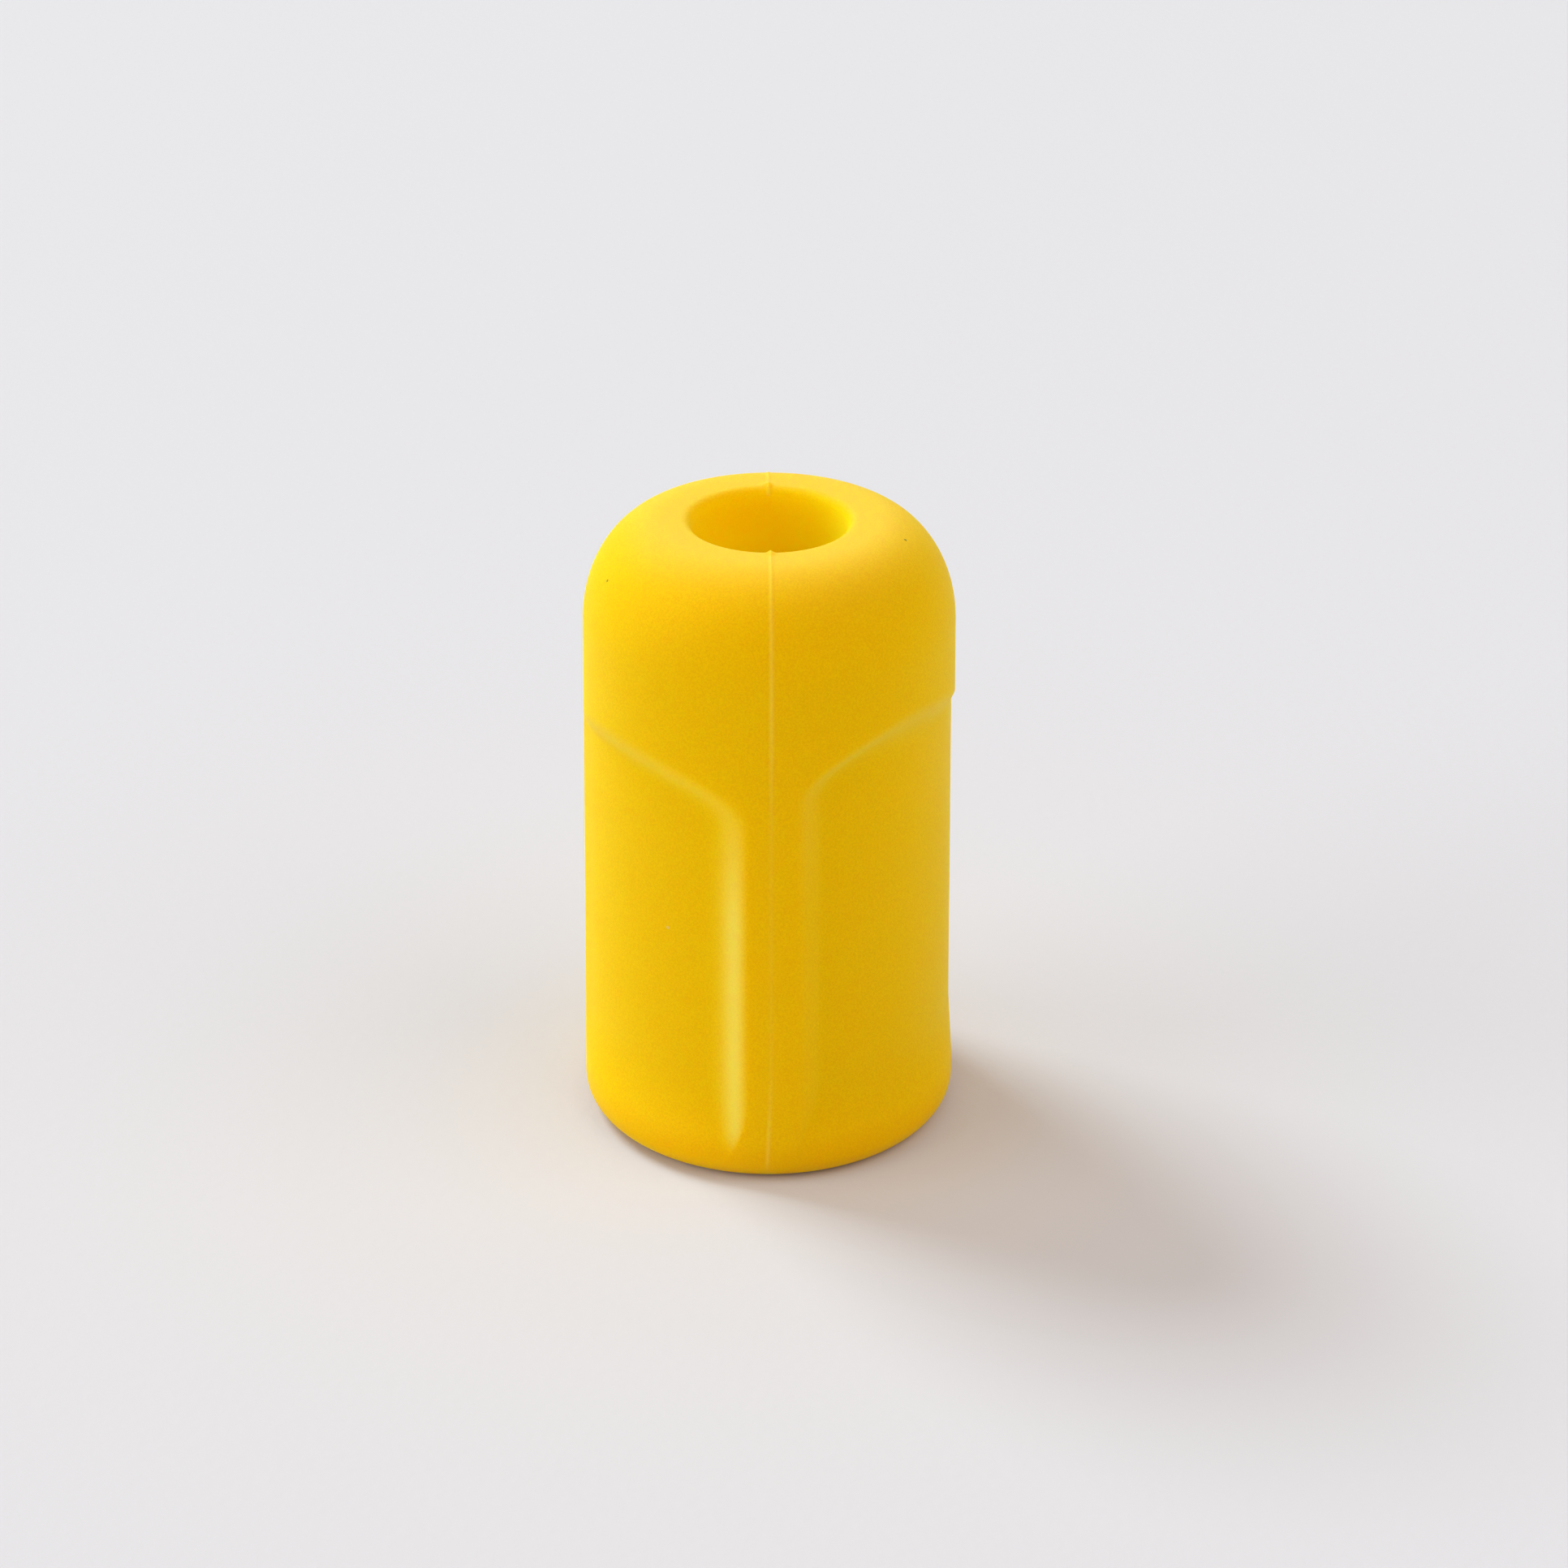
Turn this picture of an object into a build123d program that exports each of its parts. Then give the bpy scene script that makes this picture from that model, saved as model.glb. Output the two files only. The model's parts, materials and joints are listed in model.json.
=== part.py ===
# A one-piece moulded pencil grip, standing on its foot with the nose up.
# Millimetres. The bore runs along +Z and the rib between the two finger scoops faces -Y.
import os
from math import acos, copysign, cos, degrees, radians, sin, sqrt, tan

from build123d import *

# Outer form
grip_height = 33.7
nose_diameter = 19.2  # at the shoulder, where the dome begins
foot_diameter = 20.0  # at the foot, before its edge is rounded
dome_rise = 5.5  # the dome's height above the shoulder
nose_land = 1.05  # flat ring between the dome and the bore's rounded rim
foot_rounding = 1.4

# Bore for the pencil
bore_diameter = 8.0
rim_rounding = 0.5  # at both mouths

# What the two finger scoops share
floor_flattening = 1.75  # how much larger a floor's radius is than the wall's
top_slope = 38.0  # degrees from level, rising outwards
top_corner = 1.4  # where a scoop's top turns down along the rib
flange_height = 1.7  # wall left standing below the scoops
flare_radius = 7.5  # of a floor as it runs out to the flange
flare_inset = 0.03  # how far inside the floor the flare begins, so that the two cross

# Thumb scoop. Bearings are degrees round from the rib, towards +X.
thumb_floor_bearing = -30.0  # where the floor is deepest
thumb_depth = 1.2
thumb_top_bearing = -53.0  # where the top is highest
thumb_top_drop = 4.5  # from the shoulder down to the top
thumb_rib_edge = 1.8  # from the middle of the rib to the edge of its crest
thumb_flank = 66.0  # degrees between the rib's flank and its crest
thumb_root = 1.0  # rounding where the floor meets rib and top

# Index finger scoop, which reaches nearer the nose
index_floor_bearing = 40.0
index_depth = 1.07
index_top_bearing = 49.0
index_top_drop = 2.85
index_rib_edge = 1.5
index_flank = 48.0
index_root = 0.25

# Derived sizes
nose_radius = nose_diameter / 2
foot_radius = foot_diameter / 2
bore_radius = bore_diameter / 2
crown_radius = bore_radius + rim_rounding + nose_land
dome_run = nose_radius - crown_radius
shoulder_height = grip_height - dome_rise
dome_centre = (crown_radius, shoulder_height)
wall_run = foot_radius - nose_radius
wall_down = (wall_run, -shoulder_height)  # the wall's direction in its section
cutter_reach = grip_height + foot_diameter  # longer than anything that a scoop cuts
up = Vector(0, 0, 1)


def wall_radius(height):
    """The tapered wall's radius at a height above the foot."""
    return foot_radius - wall_run * height / shoulder_height


def level_direction(bearing):
    """A level direction, turned from the rib towards +X."""
    return Vector(sin(radians(bearing)), -cos(radians(bearing)), 0)


def rib_side(edge, flank, depth):
    """How far the rib's flank is from its middle, at a depth below the middle of the crest."""
    edge_depth = foot_radius - sqrt(foot_radius**2 - edge**2)
    return edge + (depth - edge_depth) / tan(radians(flank))


# The rib is a keystone bar along the slope of the wall. Its crest is the wall itself.
rib_along = Vector(0, wall_run, shoulder_height).normalized()
rib_foot = level_direction(0) * foot_radius
rib_plane = Plane(origin=rib_foot - rib_along * cutter_reach, x_dir=(1, 0, 0), z_dir=rib_along)
rib_depth = 2 * max(thumb_depth, index_depth)  # well below both floors
rib_proud = min(thumb_rib_edge, index_rib_edge) / 2  # above the wall, clear of it
with BuildPart() as rib_bar:
    with BuildSketch(rib_plane):
        Polygon(
            (-rib_side(thumb_rib_edge, thumb_flank, -rib_proud), -rib_proud),
            (rib_side(index_rib_edge, index_flank, -rib_proud), -rib_proud),
            (rib_side(index_rib_edge, index_flank, rib_depth), rib_depth),
            (-rib_side(thumb_rib_edge, thumb_flank, rib_depth), rib_depth),
            align=None,
        )
    extrude(amount=2 * cutter_reach)


def finger_scoop(floor_bearing, depth, top_bearing, top_drop, rib_edge, root):
    """The space of one scoop: below its sloping top, beside the rib and outside its floor."""
    top_height = shoulder_height - top_drop
    top_outwards = level_direction(top_bearing)
    rim = wall_radius(top_height)
    lip = top_outwards * rim + up * top_height
    downwards = top_outwards * sin(radians(top_slope)) - up * cos(radians(top_slope))

    # Where the top meets the edge of the rib's crest
    crest_edge = Vector(copysign(rib_edge, floor_bearing), -sqrt(rim**2 - rib_edge**2), 0)
    fall = (rim - crest_edge.dot(top_outwards)) * tan(radians(top_slope))
    corner = crest_edge + up * (top_height - fall)

    # The floor is as tapered as the wall, about an axis of its own
    floor_outwards = level_direction(floor_bearing)
    floor_centre = floor_outwards * -(depth + floor_flattening)
    floor_plane = Plane(origin=floor_centre, x_dir=floor_outwards, z_dir=floor_outwards.cross(up))
    floor_axis = Axis(floor_centre, up)

    # The flare goes on past the wall by as much again as the scoop is deep
    flare_run = flare_inset + depth
    flare_start = flange_height + sqrt(2 * flare_radius * flare_run - flare_run**2)
    flare_turn = degrees(acos(1 - (flare_run + depth) / flare_radius))
    flare_from = wall_radius(flare_start) + floor_flattening - flare_inset

    with BuildPart() as scoop:
        with BuildSketch(Plane(origin=lip, x_dir=top_outwards.cross(up), z_dir=downwards)):
            Rectangle(cutter_reach, cutter_reach)
        extrude(amount=cutter_reach)

        # Only what lies above the foot, on this side of the rib
        split(bisect_by=Plane.XY, keep=Keep.TOP)
        split(bisect_by=Plane.YZ, keep=Keep.TOP if floor_bearing > 0 else Keep.BOTTOM)

        with BuildSketch(floor_plane):
            with BuildLine():
                Polyline(
                    (0, grip_height),
                    (wall_radius(grip_height) + floor_flattening, grip_height),
                    (wall_radius(-cutter_reach) + floor_flattening, -cutter_reach),
                    (0, -cutter_reach),
                    close=True,
                )
            make_face()
        revolve(axis=floor_axis, mode=Mode.SUBTRACT)
        add(rib_bar.part, mode=Mode.SUBTRACT)

        # First the corner between top and rib, then the floor's whole edge along both
        corner_edge = scoop.edges().filter_by(GeomType.LINE).sort_by_distance(corner)[0]
        fillet(corner_edge, top_corner)
        root_edge = scoop.edges().filter_by(GeomType.BSPLINE).sort_by_distance(rib_foot)[0]
        fillet(root_edge, root)

        with BuildSketch(floor_plane):
            with BuildLine():
                flare = JernArc((flare_from, flare_start), wall_down, flare_radius, flare_turn)
                Polyline(
                    flare @ 1,
                    ((flare @ 1).X, -cutter_reach),
                    (0, -cutter_reach),
                    (0, flare_start),
                    flare @ 0,
                )
            make_face()
        revolve(axis=floor_axis, mode=Mode.SUBTRACT)
    return scoop.part


thumb_scoop = finger_scoop(
    thumb_floor_bearing, thumb_depth, thumb_top_bearing, thumb_top_drop, thumb_rib_edge, thumb_root
)
index_scoop = finger_scoop(
    index_floor_bearing, index_depth, index_top_bearing, index_top_drop, index_rib_edge, index_root
)

with BuildPart() as grip_body:
    with BuildSketch(Plane.YZ) as section:
        with BuildLine():
            Polyline(
                (crown_radius, grip_height),
                (bore_radius, grip_height),
                (bore_radius, 0),
                (foot_radius, 0),
                (nose_radius, shoulder_height),
            )
            EllipticalCenterArc(dome_centre, dome_run, dome_rise, start_angle=0, arc_size=90)
        make_face()
        fillet(section.vertices().group_by(Axis.X)[0], rim_rounding)
        fillet(section.vertices().sort_by(Axis.X)[-1], foot_rounding)
    revolve(axis=Axis.Z)
    add(thumb_scoop, mode=Mode.SUBTRACT)
    add(index_scoop, mode=Mode.SUBTRACT)

os.makedirs("parts", exist_ok=True)
grip_body.part.label = "grip_body"
export_step(grip_body.part, "parts/grip_body.step")
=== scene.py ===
import json

import bpy
import numpy as np
from mathutils import Matrix, Vector


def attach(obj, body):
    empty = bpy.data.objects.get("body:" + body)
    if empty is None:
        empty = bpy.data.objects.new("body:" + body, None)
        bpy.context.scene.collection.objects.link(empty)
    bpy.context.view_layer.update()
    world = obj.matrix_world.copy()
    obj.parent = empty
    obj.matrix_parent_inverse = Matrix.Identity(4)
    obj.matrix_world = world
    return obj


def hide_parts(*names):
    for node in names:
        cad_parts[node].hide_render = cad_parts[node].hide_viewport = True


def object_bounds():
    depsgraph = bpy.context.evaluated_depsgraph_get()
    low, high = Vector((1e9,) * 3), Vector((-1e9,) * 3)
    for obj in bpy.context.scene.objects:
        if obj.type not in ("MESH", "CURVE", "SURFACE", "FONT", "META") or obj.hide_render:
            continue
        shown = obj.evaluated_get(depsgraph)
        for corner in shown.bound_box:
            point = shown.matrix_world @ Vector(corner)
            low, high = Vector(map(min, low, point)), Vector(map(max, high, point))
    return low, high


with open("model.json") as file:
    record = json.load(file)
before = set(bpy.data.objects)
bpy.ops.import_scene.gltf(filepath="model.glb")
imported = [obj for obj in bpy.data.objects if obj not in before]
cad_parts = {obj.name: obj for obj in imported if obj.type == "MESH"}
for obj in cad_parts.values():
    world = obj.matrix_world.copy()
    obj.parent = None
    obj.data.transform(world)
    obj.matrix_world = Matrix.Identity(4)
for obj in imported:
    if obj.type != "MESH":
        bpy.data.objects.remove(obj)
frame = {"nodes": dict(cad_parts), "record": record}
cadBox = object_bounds()
mounts = {mount["name"]: mount for mount in frame["record"]["mounts"]}
mm = 0.001
print("frame loaded:", sorted(frame["nodes"]))


# The moulded grip. Lengths in mm, bearings in degrees round from the rib towards +X.
gripForm = {
    "height": (cadBox[1].z - cadBox[0].z) / mm,
    "boreRadius": mounts["pencil_bore"]["dims"]["r_mm"],
    "noseRadius": 9.6,  # at the shoulder, where the dome begins
    "footRadius": 10.0,
    "domeRise": 5.5,
    "noseLand": 1.05,  # flat ring between the dome and the rim
    "footRounding": 1.4,
    "rimRounding": 0.5,
    "floorFlattening": 1.75,  # how much larger a floor's radius is than the wall's
    "topSlope": 38.0,  # degrees from level
    "topLimit": 0.1,  # least cosine of the turn from a top's bearing: its plane isn't followed further round
    "flangeHeight": 1.7,  # wall left standing below the scoops
    "flareRadius": 7.5,
    "flangeReach": 0.5,  # rounding where a floor runs out below
    "thumb": {
        "floorBearing": -30.0,
        "depth": 1.2,
        "topBearing": -53.0,
        "topDrop": 4.5,  # from the shoulder
        "ribEdge": 1.8,  # from the middle of the rib to the edge of its crest
        "flank": 66.0,  # degrees between the rib's flank and its crest
        "cornerReach": 2.0,  # rounding where the top turns down along the rib
        "topRoot": 1.5,  # rounding where the floor meets the top
        "ribRoot": 1.5,  # and where it meets the rib
        "lipReach": 1.1,  # rounding along the top's edge
        "ribReach": 1.05,  # and along the rib's
        "paleTop": 0.05,  # how strong the painted highlight is along the top's lip
        "paleRib": 0.7,  # and along the rib
        "ribZone": 28.0,  # the bearing from which the top's values hold
    },
    "index": {
        "floorBearing": 40.0,
        "depth": 1.07,
        "topBearing": 49.0,
        "topDrop": 2.85,
        "ribEdge": 1.5,
        "flank": 48.0,
        "cornerReach": 2.6,
        "topRoot": 0.9,
        "ribRoot": 0.12,
        "lipReach": 0.9,
        "ribReach": 0.25,
        "paleTop": 0.06,
        "paleRib": 0.0,
        "ribZone": 45.0,
    },
    "ribHalf": 16.0,  # the bearing up to which the rib's values hold
    "paleStart": 22.0,  # the height at which the painted highlight along the rib's lip begins to grow
    "paleRun": 6.5,  # how far below that it is strongest
    "lipDepth": 0.6,  # a scoop shallower than this has a fainter painted highlight on its lip
    "beadRise": 0.035,  # the mould's parting line, all round in the plane of the rib
    "beadWidth": 0.1,
    "beadDrift": 0.2,  # how far it wanders towards the thumb near the foot
    "driftStart": 6.0,  # the height at which it begins to wander
    "driftRun": 5.0,
    "nubRise": 0.12,  # where the parting line reaches the rim
    "nubWidth": 0.2,
    "footBand": 2.6,  # how far up the painted shade at the foot's edge fades out
    "bloomFalloff": 7,  # how soon the painted highlight on what looks up fades as it turns away
    "columns": 430,
    "rows": {  # points along each stretch of the section
        "foot": 4, "footEdge": 12, "wall": 130, "dome": 40, "land": 10, "rim": 9, "bore": 14, "farRim": 6,
    },
}

# Bearing in degrees and how closely the columns stand there: closest at the parting line
# and the rib's flanks
columnStops = [
    (0, 5), (2, 5), (4, 2), (7, 3.2), (20, 3), (26, 1.5), (70, 1.3), (100, 1), (175, 1), (178, 5), (180, 5),
]
# Height as a share of the wall, the same way: closest along the scoops' tops
wallStops = [(0, 3), (0.25, 2.4), (0.3, 1.2), (0.64, 1.2), (0.68, 5), (0.92, 5), (0.95, 2), (1, 2)]
# Height in mm and how strong the parting line is there
beadStops = [(0.5, 0), (1.5, 0.8), (3, 0.8), (7, 0.3), (20, 0.3), (27, 1)]
# Depth below the nose in mm and how much painted light from through the wall the bore gets there (paler
# colour, deeper scatter)
boreStops = [(0, 0), (0.5, 0.5), (3.5, 1)]
tiny = 0.01  # mm, keeps a depth from being nothing


def spread(stops, count, fineSteps=4000):
    # count + 1 places from the first stop to the last: the density's running total,
    # read backwards in equal steps
    places, density = np.array(stops, float).T
    fine = np.linspace(places[0], places[-1], fineSteps + 1)
    total = np.concatenate([[0], np.cumsum(np.interp((fine[1:] + fine[:-1]) / 2, places, density))])
    return np.interp(np.linspace(0, total[-1], count + 1), total, fine)


def strength(stops, places):
    # straight lines from stop to stop, level beyond the last
    return np.interp(places, *np.array(stops).T)


def lowerOf(a, b, reach):
    # the lower of two surfaces: their minimum, less a parabola where they are nearer than reach
    near = np.clip(1 - np.abs(a - b) / reach, 0, 1)
    return np.minimum(a, b) - reach * near**2 / 4


def higherOf(a, b, reach):
    # the higher of two surfaces, rounded in the same way
    return -lowerOf(-a, -b, reach)


def arc(centre, runs, start, end, count):
    # points of an ellipse's arc: centre plus each run times the cosine and sine of an even turn
    turn = np.radians(np.linspace(start, end, count, endpoint=False))
    return np.stack([centre[0] + runs[0] * np.cos(turn), centre[1] + runs[1] * np.sin(turn)], 1)


def straight(start, end, count):
    # points of a straight line, without its end
    share = np.linspace(0, 1, count, endpoint=False)[:, None]
    return np.array(start) * (1 - share) + np.array(end) * share


def wallRadius(form, height):
    # the tapered wall: a straight line from the foot's radius to the nose's at the shoulder
    shoulder = form["height"] - form["domeRise"]
    return form["footRadius"] - (form["footRadius"] - form["noseRadius"]) * height / shoulder


def gripSection(form):
    # One closed section as (radius, height): out along the foot, round its edge, up the wall,
    # over the dome's quarter ellipse, across the land, round the rim and back down the bore
    height, bore, rows = form["height"], form["boreRadius"], form["rows"]
    shoulder = height - form["domeRise"]
    lean = np.arctan2(form["footRadius"] - form["noseRadius"], shoulder)
    edge, rim = form["footRounding"], form["rimRounding"]
    crown = bore + rim + form["noseLand"]
    footCentre = form["footRadius"] - np.tan(lean) * edge - edge / np.cos(lean)
    wallStart = np.array([footCentre + edge * np.cos(lean), edge + edge * np.sin(lean)])
    wallEnd = np.array([form["noseRadius"], shoulder])
    climb = spread(wallStops, rows["wall"])[:-1, None]
    stretches = {
        "foot": straight((bore + rim, 0), (footCentre, 0), rows["foot"]),
        "footEdge": arc((footCentre, edge), (edge, edge), -90, np.degrees(lean), rows["footEdge"]),
        "wall": wallStart * (1 - climb) + wallEnd * climb,
        "dome": arc((crown, shoulder), (form["noseRadius"] - crown, form["domeRise"]), 0, 90, rows["dome"]),
        "land": straight((crown, height), (bore + rim, height), rows["land"]),
        "rim": arc((bore + rim, height - rim), (rim, rim), 90, 180, rows["rim"]),
        "bore": straight((bore, height - rim), (bore, rim), rows["bore"]),
        "farRim": arc((bore + rim, rim), (rim, rim), 180, 270, rows["farRim"]),
    }
    name = np.repeat(list(stretches), [len(points) for points in stretches.values()])
    outside = np.isin(name, ["footEdge", "wall", "dome"]) * 1.0
    beaded = np.isin(name, ["footEdge", "wall", "dome", "land", "rim"]) * 1.0
    return *np.concatenate(list(stretches.values())).T, outside, beaded


def scoopSurface(form, scoop, bearing, height, skin):
    # How far out the grip reaches with one scoop in its skin, how deep the scoop is there,
    # and how strong the painted highlight along its lip is.
    # Floor: a circle about an axis set back from the grip's, tapered as the wall and flared
    # by a circle below. Rib: a flat flank that leaves the wall at the crest's edge.
    # Top: a plane that rises outwards.
    # The skin is lowered to the floor, and apart from that to top and rib.
    # The higher of the two is what is left.
    wall = wallRadius(form, height)
    angle = np.radians(bearing)

    depth, flareRadius = scoop["depth"], form["flareRadius"]
    setBack = depth + form["floorFlattening"]
    flareStart = form["flangeHeight"] + np.sqrt(2 * flareRadius * depth - depth**2)
    fall = np.clip(flareStart - height, 0, flareRadius)
    flare = flareRadius - np.sqrt(flareRadius**2 - fall**2)
    turn = angle - np.radians(scoop["floorBearing"])
    floorRadius = wall + form["floorFlattening"]
    plainFloor = np.sqrt(floorRadius**2 - (setBack * np.sin(turn)) ** 2) - setBack * np.cos(turn)
    floor = np.sqrt((floorRadius + flare) ** 2 - (setBack * np.sin(turn)) ** 2) - setBack * np.cos(turn)

    facing = np.radians(scoop["flank"])
    crestEdge = np.arcsin(scoop["ribEdge"] / wall)
    flank = wall * np.cos(facing - crestEdge) / np.cos(np.maximum(facing - np.abs(angle), 0))

    topHeight = form["height"] - form["domeRise"] - scoop["topDrop"]
    towardsTop = np.maximum(np.cos(angle - np.radians(scoop["topBearing"])), form["topLimit"])
    topRise = (height - topHeight) / np.tan(np.radians(form["topSlope"]))
    top = (wallRadius(form, topHeight) + topRise) / towardsTop

    atRib = np.clip((scoop["ribZone"] - np.abs(bearing)) / (scoop["ribZone"] - form["ribHalf"]), 0, 1)
    lipReach = scoop["lipReach"] + (scoop["ribReach"] - scoop["lipReach"]) * atRib
    rootReach = scoop["topRoot"] + (scoop["ribRoot"] - scoop["topRoot"]) * atRib
    # every rounding shrinks where a scoop runs out at the side
    plainDepth = np.maximum(wall - plainFloor, tiny)
    bed = lowerOf(skin, floor, np.minimum(form["flangeReach"], 2 * plainDepth))
    banks = lowerOf(skin, higherOf(top, flank, scoop["cornerReach"]), lipReach)
    left = np.minimum(higherOf(bed, banks, np.minimum(rootReach, plainDepth)), skin)

    # painted highlight along the lip, stronger down the rib
    downRib = np.clip((form["paleStart"] - height) / form["paleRun"], 0, 1)
    lipHighlightShare = scoop["paleTop"] + (scoop["paleRib"] - scoop["paleTop"]) * atRib * downRib
    return np.stack(np.broadcast_arrays(left, np.maximum(skin - floor, tiny), lipHighlightShare))


def gripSurface(form):
    # The section turned about the bore's axis, its outside lowered to the scoops, and a bead raised along the
    # section's own normal where it crosses the parting plane: a bell curve of the distance from that plane.
    # The masks say where painted light goes: highlights on the lips, the bead and what looks up,
    # light from through the wall in the bore and shade along the foot's edge.
    radius, height, outside, beaded = gripSection(form)
    half = spread(columnStops, form["columns"] // 2)
    bearing = np.concatenate([half, half[-2:0:-1] * -1])[:, None]
    angle = np.radians(bearing)

    place = bearing, height[None], radius[None]
    scoops = [scoopSurface(form, form[name], *place) for name in ("thumb", "index")]
    carved, depth, lipHighlightShare = np.where(bearing < 0, *scoops)
    reached = np.where(outside > 0, carved, radius[None])
    share = np.clip((radius - reached) / depth, 0, 1)
    thirdWay = 27 / 4 * share * (1 - share) ** 2  # 1 at a third of the way from wall to floor, 0 at both
    # the painted highlight along the scoops' lips
    lip = thirdWay * np.clip(depth / form["lipDepth"], 0, 1) * outside * lipHighlightShare

    alongRadius = np.roll(radius, -1) - np.roll(radius, 1)
    alongHeight = np.roll(height, -1) - np.roll(height, 1)
    length = np.hypot(alongRadius, alongHeight)
    outRadius, outHeight = alongHeight / length, -alongRadius / length

    drift = form["beadDrift"] * np.clip((form["driftStart"] - height) / form["driftRun"], 0, 1)
    offPlane = reached * np.sin(angle) + drift
    rimPlace = form["boreRadius"] + form["rimRounding"]
    fromRim = np.hypot(radius - rimPlace, height - form["height"])[None]
    bead = np.exp(-((offPlane / form["beadWidth"]) ** 2)) * beaded * strength(beadStops, height)
    nub = np.exp(-((offPlane / form["nubWidth"]) ** 2) - (fromRim / form["nubWidth"]) ** 2) * beaded
    rise = form["beadRise"] * bead + form["nubRise"] * nub

    outwards = reached + rise * outRadius
    upwards = height[None] + rise * outHeight
    points = np.stack([outwards * np.sin(angle), -outwards * np.cos(angle), upwards], axis=-1)
    across = np.roll(points, -1, axis=0) - np.roll(points, 1, axis=0)
    along = np.roll(points, -1, axis=1) - np.roll(points, 1, axis=1)
    normal = np.cross(across, along)
    # painted highlight on what faces up
    bloom = np.clip(normal[..., 2] / np.linalg.norm(normal, axis=-1), 0, 1) ** form["bloomFalloff"]

    everyColumn = np.ones_like(bearing)
    # the bore: painted light from through the wall, as a paler colour and a deeper scatter
    bore = strength(boreStops, form["height"] - height) * (radius < rimPlace) * everyColumn
    # painted shade along the foot's edge, where it meets the floor
    foot = np.clip(1 - height / form["footBand"], 0, 1) * outside * everyColumn
    return points * mm, {"lip": lip, "bead": bead, "bore": bore, "foot": foot, "bloom": bloom}


def makeMesh(name, points, masks):
    # A sheet of points, closed both ways: each point is joined to the next in its row and column
    columns, rows = points.shape[:2]
    place = np.arange(columns * rows).reshape(columns, rows)
    nextColumn = np.roll(place, -1, axis=0)
    nextRow, nextBoth = np.roll(place, -1, axis=1), np.roll(nextColumn, -1, axis=1)
    corners = np.stack([place, nextColumn, nextBoth, nextRow], axis=-1)
    mesh = bpy.data.meshes.new(name)
    mesh.vertices.add(columns * rows)
    mesh.vertices.foreach_set("co", points.reshape(-1).astype(np.float32))
    mesh.loops.add(corners.size)
    mesh.loops.foreach_set("vertex_index", corners.reshape(-1).astype(np.int32))
    mesh.polygons.add(columns * rows)
    mesh.polygons.foreach_set("loop_start", np.arange(0, corners.size, 4, dtype=np.int32))
    mesh.polygons.foreach_set("use_smooth", np.ones(columns * rows, dtype=bool))
    mesh.update(calc_edges=True)
    mesh.validate()
    for maskName, mask in masks.items():
        layer = mesh.attributes.new(maskName, "FLOAT", "POINT")
        layer.data.foreach_set("value", mask.reshape(-1).astype(np.float32))
    piece = bpy.data.objects.new(name, mesh)
    bpy.context.scene.collection.objects.link(piece)
    return piece


gripPoints, gripMasks = gripSurface(gripForm)
grip = makeMesh("gripSkin", gripPoints, gripMasks)
print("grip:", len(grip.data.vertices), "points,", 2 * len(grip.data.polygons), "triangles")


# Small helpers for node trees
def link(tree, output, socket):
    tree.links.new(output, socket)


def fill(tree, socket, value):
    # a socket takes either another node's output or a plain value
    if isinstance(value, bpy.types.NodeSocket):
        link(tree, value, socket)
    else:
        socket.default_value = value


def mathNode(tree, operation, *values, clamp=False):
    node = tree.nodes.new("ShaderNodeMath")
    node.operation = operation
    node.use_clamp = clamp
    for socket, value in zip(node.inputs, values):
        fill(tree, socket, value)
    return node.outputs[0]


def noiseNode(tree, vector, scale, detail):
    node = tree.nodes.new("ShaderNodeTexNoise")
    for name, value in (("Vector", vector), ("Scale", scale), ("Detail", detail)):
        fill(tree, node.inputs[name], value)
    return node.outputs["Fac"]


def newGroup(name, inputs, outputs):
    tree = bpy.data.node_groups.new(name, "ShaderNodeTree")
    for inOut, sockets in (("INPUT", inputs), ("OUTPUT", outputs)):
        for socketName, kind in sockets:
            tree.interface.new_socket(socketName, in_out=inOut, socket_type="NodeSocket" + kind)
    return tree, tree.nodes.new("NodeGroupInput").outputs, tree.nodes.new("NodeGroupOutput").inputs


mouldGrain = {
    "grainDetail": 2.0,
    "mottleDetail": 3.0,
    "poreContrast": 4.0,
    "poreLevel": 0.625,  # noise lower than this is a pore
}


def grainGroup(look):
    # Fine bumps for a normal, the pores between them and a slow mottle for a colour, from noise at two
    # scales.
    # A pore is the contrast times how far the noise lies below the pores' level; its darker colour is a
    # painted shade.
    tree, given, made = newGroup(
        "mouldGrain",
        [("Vector", "Vector"), ("Grain Scale", "Float"), ("Mottle Scale", "Float")],
        [("Height", "Float"), ("Pores", "Float"), ("Mottle", "Float")],
    )
    height = noiseNode(tree, given["Vector"], given["Grain Scale"], look["grainDetail"])
    contrast = look["poreContrast"]
    pores = mathNode(tree, "MULTIPLY_ADD", height, -contrast, contrast * look["poreLevel"], clamp=True)
    link(tree, height, made["Height"])
    link(tree, pores, made["Pores"])
    mottle = noiseNode(tree, given["Vector"], given["Mottle Scale"], look["mottleDetail"])
    link(tree, mottle, made["Mottle"])
    return tree


speckEdge = 1.5  # where a speck has faded out, as a share of its size


def speckGroup(edge):
    # One speck: 1 inside a ball of the given size, falling in a straight line to 0 at its edge
    tree, given, made = newGroup(
        "speck",
        [("Vector", "Vector"), ("Place", "Vector"), ("Size", "Float")],
        [("Mask", "Float")],
    )
    away = tree.nodes.new("ShaderNodeVectorMath")
    away.operation = "DISTANCE"
    link(tree, given["Vector"], away.inputs[0])
    link(tree, given["Place"], away.inputs[1])
    share = mathNode(tree, "DIVIDE", away.outputs["Value"], given["Size"])
    inside = mathNode(tree, "SUBTRACT", edge, share)
    link(tree, mathNode(tree, "MULTIPLY", inside, 1 / (edge - 1), clamp=True), made["Mask"])
    return tree


grainTree = grainGroup(mouldGrain)
speckTree = speckGroup(speckEdge)


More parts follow.
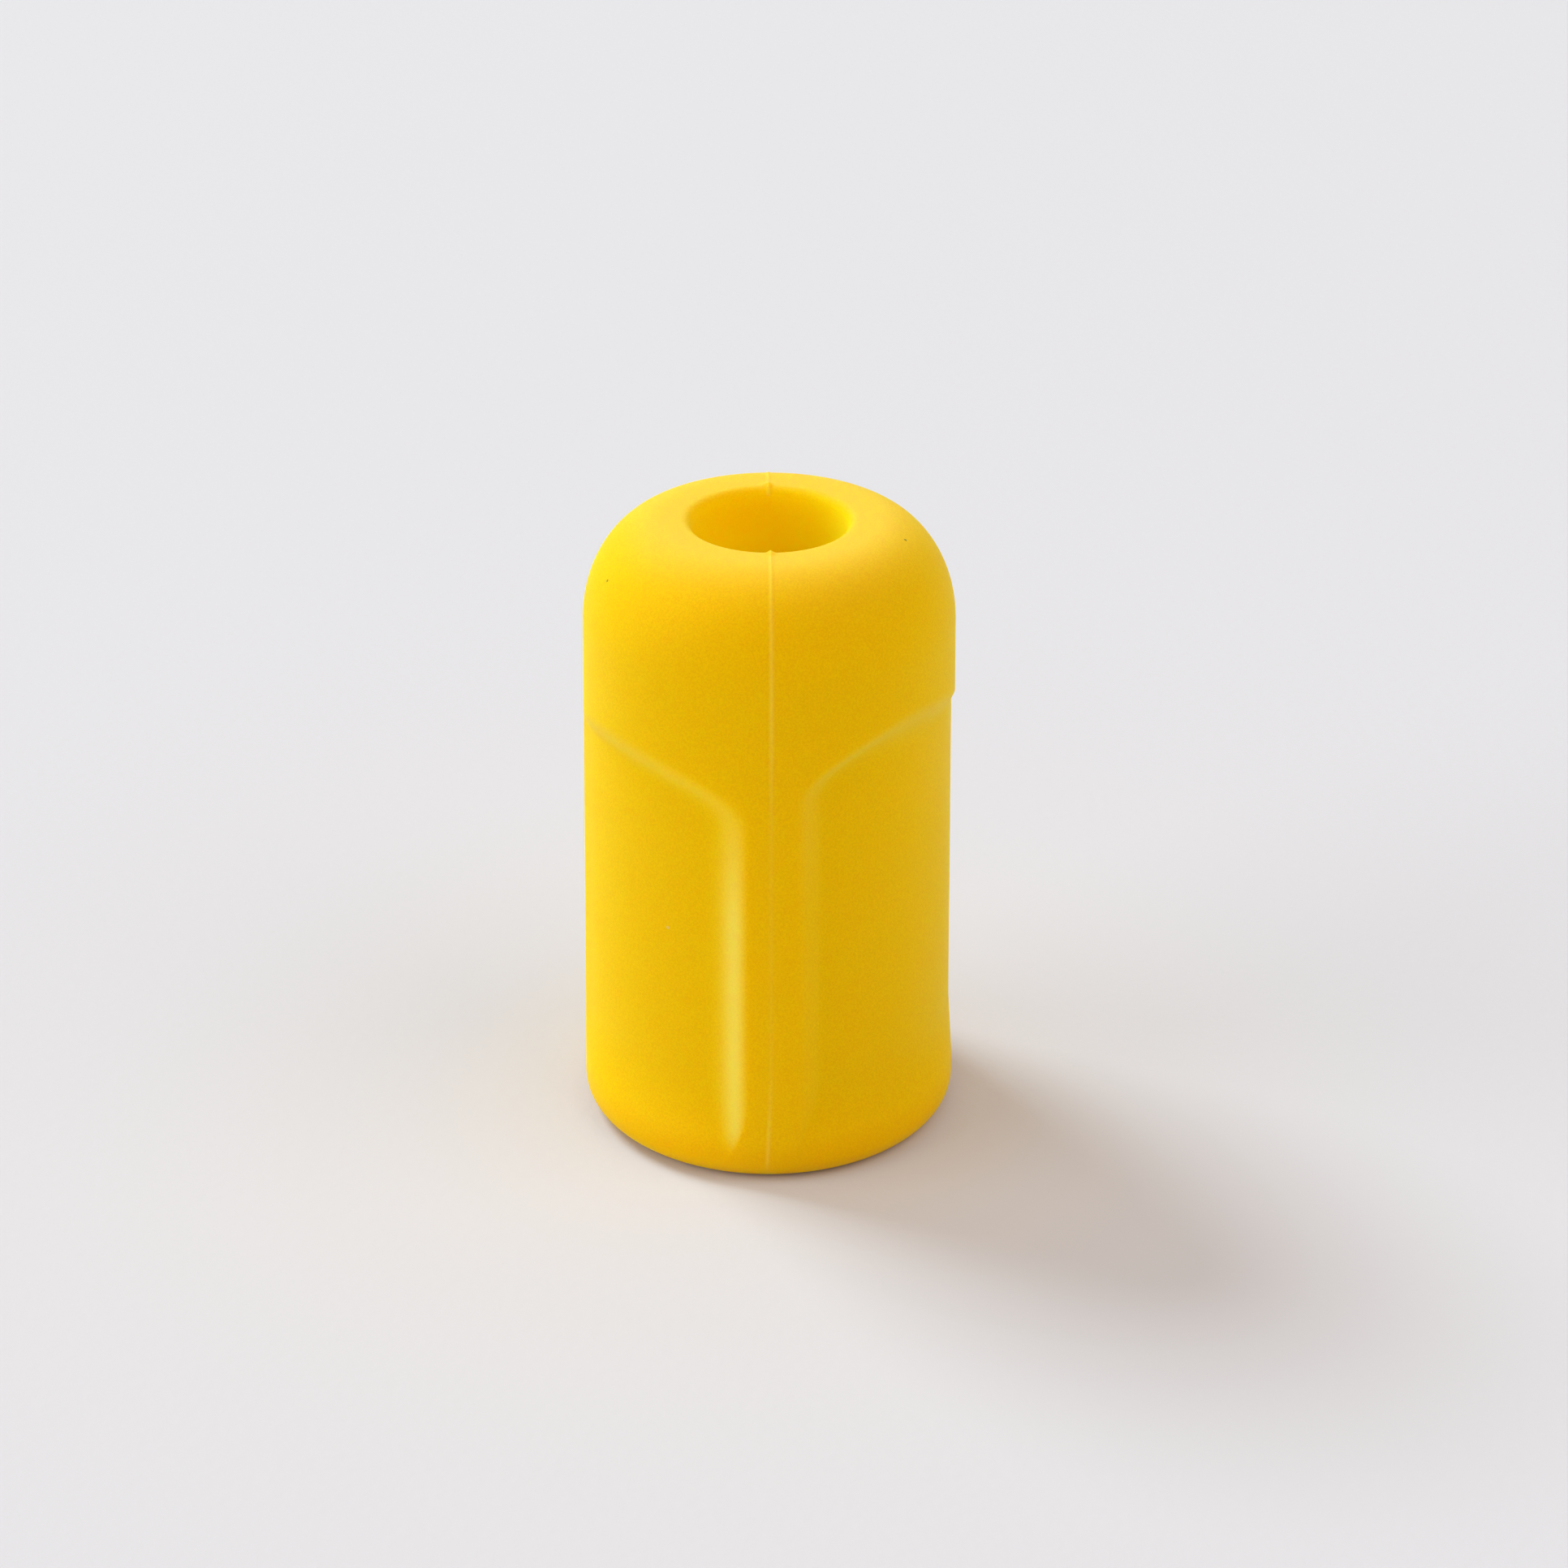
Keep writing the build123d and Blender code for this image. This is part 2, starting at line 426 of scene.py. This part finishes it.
def newMaterial(name):
    material = bpy.data.materials.new(name)
    material.use_nodes = True
    tree = material.node_tree
    shader = tree.nodes["Principled BSDF"]
    coordinates = tree.nodes.new("ShaderNodeTexCoord").outputs["Object"]
    return material, tree, shader, coordinates


def placeGroup(tree, group, vector, values):
    node = tree.nodes.new("ShaderNodeGroup")
    node.node_tree = group
    link(tree, vector, node.inputs["Vector"])
    for name, value in values.items():
        node.inputs[name].default_value = value
    return node.outputs


def mixColour(tree, share, first, second):
    node = tree.nodes.new("ShaderNodeMix")
    node.data_type = "RGBA"
    for socket, value in ((node.inputs[0], share), (node.inputs[6], first), (node.inputs[7], second)):
        fill(tree, socket, value)  # 6, 7 and output 2 are the node's colour sockets
    return node.outputs[2]


def addBump(tree, shader, height, depth):
    bump = tree.nodes.new("ShaderNodeBump")
    bump.inputs["Distance"].default_value = depth * mm
    link(tree, height, bump.inputs["Height"])
    link(tree, bump.outputs["Normal"], shader.inputs["Normal"])


elastomer = {
    "colour": (1.0, 0.61, 0.0, 1),
    "deepColour": (0.985, 0.595, 0.0, 1),  # the mottle's other end
    # painted shade in the grain's hollows: its colour and how much of it
    "poreColour": (0.88, 0.49, 0.0, 1),
    "poreShare": 0.6,
    "tints": {  # by mask, all painted light: how much of it, and its colour
        # painted light from through the wall, inside the bore
        "bore": (1.0, (1.0, 0.82, 0.0, 1)),
        # painted shade along the foot's edge
        "foot": (0.75, (0.76, 0.38, 0.0, 1)),
        "bloom": (0.35, (0.97, 0.64, 0.12, 1)),  # a painted highlight on what looks up
        # painted highlight along the lips and down the rib's flank
        "lip": (0.65, (1.0, 0.84, 0.15, 1)),
        # painted highlight along the parting bead
        "bead": (0.3, (1.0, 0.72, 0.1, 1)),
    },
    "specks": [  # place and size in mm, colour
        ((-8.19, -3.02, 31.61), 0.06, (0.3, 0.18, 0.03, 1)),
        ((6.84, -1.89, 33.28), 0.06, (0.3, 0.18, 0.03, 1)),
        ((-5.28, -6.82, 13.93), 0.07, (0.95, 0.62, 0.2, 1)),
    ],
    "roughness": 0.5,
    "roughnessSpread": 0.1,  # added where the mottle is strongest
    "specular": 0.03,
    "sheen": 0.03,
    "subsurface": 1.0,
    "subsurfaceReach": (1.0, 0.25, 0.04),
    "subsurfaceScale": 1.2,  # mm
    "boreScale": 12.0,  # mm, where light comes in through the wall
    "grainScale": 10500.0,  # per metre
    "grainDepth": 0.012,  # mm
    "mottleScale": 260.0,
}


def nearestPoint(points, place):
    # the point of a surface at the least distance from a place in mm
    flat = points.reshape(-1, 3)
    return tuple(flat[np.argmin(np.linalg.norm(flat - np.array(place) * mm, axis=1))])


def elastomerMaterial(look, points):
    material, tree, shader, coordinates = newMaterial("gripElastomer")
    scales = {"Grain Scale": look["grainScale"], "Mottle Scale": look["mottleScale"]}
    grain = placeGroup(tree, grainTree, coordinates, scales)
    colour = mixColour(tree, grain["Mottle"], look["colour"], look["deepColour"])
    # the grain's hollows darkened: painted shade
    pores = mathNode(tree, "MULTIPLY", grain["Pores"], look["poreShare"])
    colour = mixColour(tree, pores, colour, look["poreColour"])
    masks = {}
    for maskName, (share, tint) in look["tints"].items():
        mask = tree.nodes.new("ShaderNodeAttribute")
        mask.attribute_name = maskName
        masks[maskName] = mask.outputs["Fac"]
        colour = mixColour(tree, mathNode(tree, "MULTIPLY", masks[maskName], share), colour, tint)
    for place, size, tint in look["specks"]:
        values = {"Place": nearestPoint(points, place), "Size": size * mm}
        colour = mixColour(tree, placeGroup(tree, speckTree, coordinates, values)["Mask"], colour, tint)
    link(tree, colour, shader.inputs["Base Color"])
    rough = mathNode(tree, "MULTIPLY_ADD", grain["Mottle"], look["roughnessSpread"], look["roughness"])
    link(tree, rough, shader.inputs["Roughness"])
    addBump(tree, shader, grain["Height"], look["grainDepth"])
    shader.inputs["Specular IOR Level"].default_value = look["specular"]
    shader.inputs["Sheen Weight"].default_value = look["sheen"]
    shader.inputs["Subsurface Weight"].default_value = look["subsurface"]
    shader.inputs["Subsurface Radius"].default_value = look["subsurfaceReach"]
    deeper = (look["boreScale"] - look["subsurfaceScale"]) * mm
    scale = mathNode(tree, "MULTIPLY_ADD", masks["bore"], deeper, look["subsurfaceScale"] * mm)
    link(tree, scale, shader.inputs["Subsurface Scale"])
    return material


grip.data.materials.append(elastomerMaterial(elastomer, gripPoints))
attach(grip, "root")
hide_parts("grip_body")
print("elastomer on the grip")


# A plain pale sheet to stand on
floorSheet = {
    "size": 4.0,  # m
    "colour": (0.7, 0.7, 0.735, 1),
    "roughness": 0.9,
    "specular": 0.1,
    "grainScale": 1500.0,  # per metre
    "grainDepth": 0.02,  # mm
}


def makeFloor(look):
    half = look["size"] / 2
    mesh = bpy.data.meshes.new("floorSheet")
    corners = [(-half, -half, 0), (half, -half, 0), (half, half, 0), (-half, half, 0)]
    mesh.from_pydata(corners, [], [(0, 1, 2, 3)])
    floor = bpy.data.objects.new("floorSheet", mesh)
    bpy.context.scene.collection.objects.link(floor)
    material, tree, shader, coordinates = newMaterial("floorSheet")
    shader.inputs["Base Color"].default_value = look["colour"]
    shader.inputs["Roughness"].default_value = look["roughness"]
    shader.inputs["Specular IOR Level"].default_value = look["specular"]
    grain = placeGroup(tree, grainTree, coordinates, {"Grain Scale": look["grainScale"]})
    addBump(tree, shader, grain["Height"], look["grainDepth"])
    mesh.materials.append(material)


makeFloor(floorSheet)


# A soft lamp behind on the left, a wider weaker one at the left, a faint one at the right, and an even world.
# Distances and sizes in m. A lamp's level is what a white card that faces it would show.
studio = {
    "worldColour": (1.0, 0.91, 0.865, 1),
    "worldStrength": 0.55,
    "distance": 5.0,
    "lamps": {
        "keyLamp": {"bearing": -131, "elevation": 46, "size": 2.2, "level": 0.61, "colour": (0.82, 0.95, 1)},
        "sideLamp": {"bearing": -75, "elevation": 20, "size": 4, "level": 0.35, "colour": (0.96, 0.98, 1)},
        "fillLamp": {"bearing": 65, "elevation": 50, "size": 4, "level": 0.23, "colour": (1, 0.86, 0.7)},
    },
}


def makeLamp(name, look, distance):
    # A disk that faces the grip's middle. Its power is the level times the square of
    # pi times the distance.
    lamp = bpy.data.lights.new(name, "AREA")
    lamp.shape = "DISK"
    lamp.size = look["size"]
    lamp.color = look["colour"]
    lamp.energy = look["level"] * (np.pi * distance) ** 2
    holder = bpy.data.objects.new(name, lamp)
    bearing, elevation = np.radians(look["bearing"]), np.radians(look["elevation"])
    level = np.cos(elevation)
    away = Vector((np.sin(bearing) * level, -np.cos(bearing) * level, np.sin(elevation)))
    holder.location = away * distance + Vector((0, 0, gripForm["height"] * mm / 2))
    holder.rotation_euler = away.to_track_quat("Z", "Y").to_euler()
    bpy.context.scene.collection.objects.link(holder)


def makeLight(look):
    world = bpy.data.worlds.new("studio")
    bpy.context.scene.world = world
    world.use_nodes = True
    background = world.node_tree.nodes["Background"]
    background.inputs["Color"].default_value = look["worldColour"]
    background.inputs["Strength"].default_value = look["worldStrength"]
    for name, lamp in look["lamps"].items():
        makeLamp(name, lamp, look["distance"])


makeLight(studio)
print("floor and light made")


# The photograph's camera: it looks at the middle of the bore's axis, moved a little in its own plane
photoCamera = {
    "imageSide": 1932,  # pixels
    "focal": 4600.0,  # pixels
    "pitch": 27.0,  # degrees down
    "bearing": -1.0,
    "roll": 0.18,
    "distance": 197.5,  # mm
    "sideStep": 0.787,
    "upStep": 1.506,
    "sensor": 36.0,
    "clip": (0.01, 10.0),  # m
}


def makeCamera(look):
    data = bpy.data.cameras.new("photoCamera")
    data.sensor_width = look["sensor"]
    data.lens = look["sensor"] * look["focal"] / look["imageSide"]
    data.clip_start, data.clip_end = look["clip"]
    camera = bpy.data.objects.new("photoCamera", data)
    pitch = np.radians(look["pitch"])
    right = Vector((1, 0, 0))
    up = Vector((0, np.sin(pitch), np.cos(pitch)))
    back = right.cross(up)
    middle = Vector((0, 0, gripForm["height"] / 2))
    place = (middle + back * look["distance"] + right * look["sideStep"] + up * look["upStep"]) * mm
    axes = Matrix((right, up, back)).transposed().to_4x4()
    turn = Matrix.Rotation(np.radians(look["bearing"]), 4, "Z")
    roll = Matrix.Rotation(np.radians(look["roll"]), 4, "Z")
    camera.matrix_world = turn @ Matrix.Translation(place) @ axes @ roll
    bpy.context.scene.collection.objects.link(camera)
    bpy.context.scene.camera = camera


makeCamera(photoCamera)
bpy.context.scene.view_settings.view_transform = "Standard"
print("camera set")
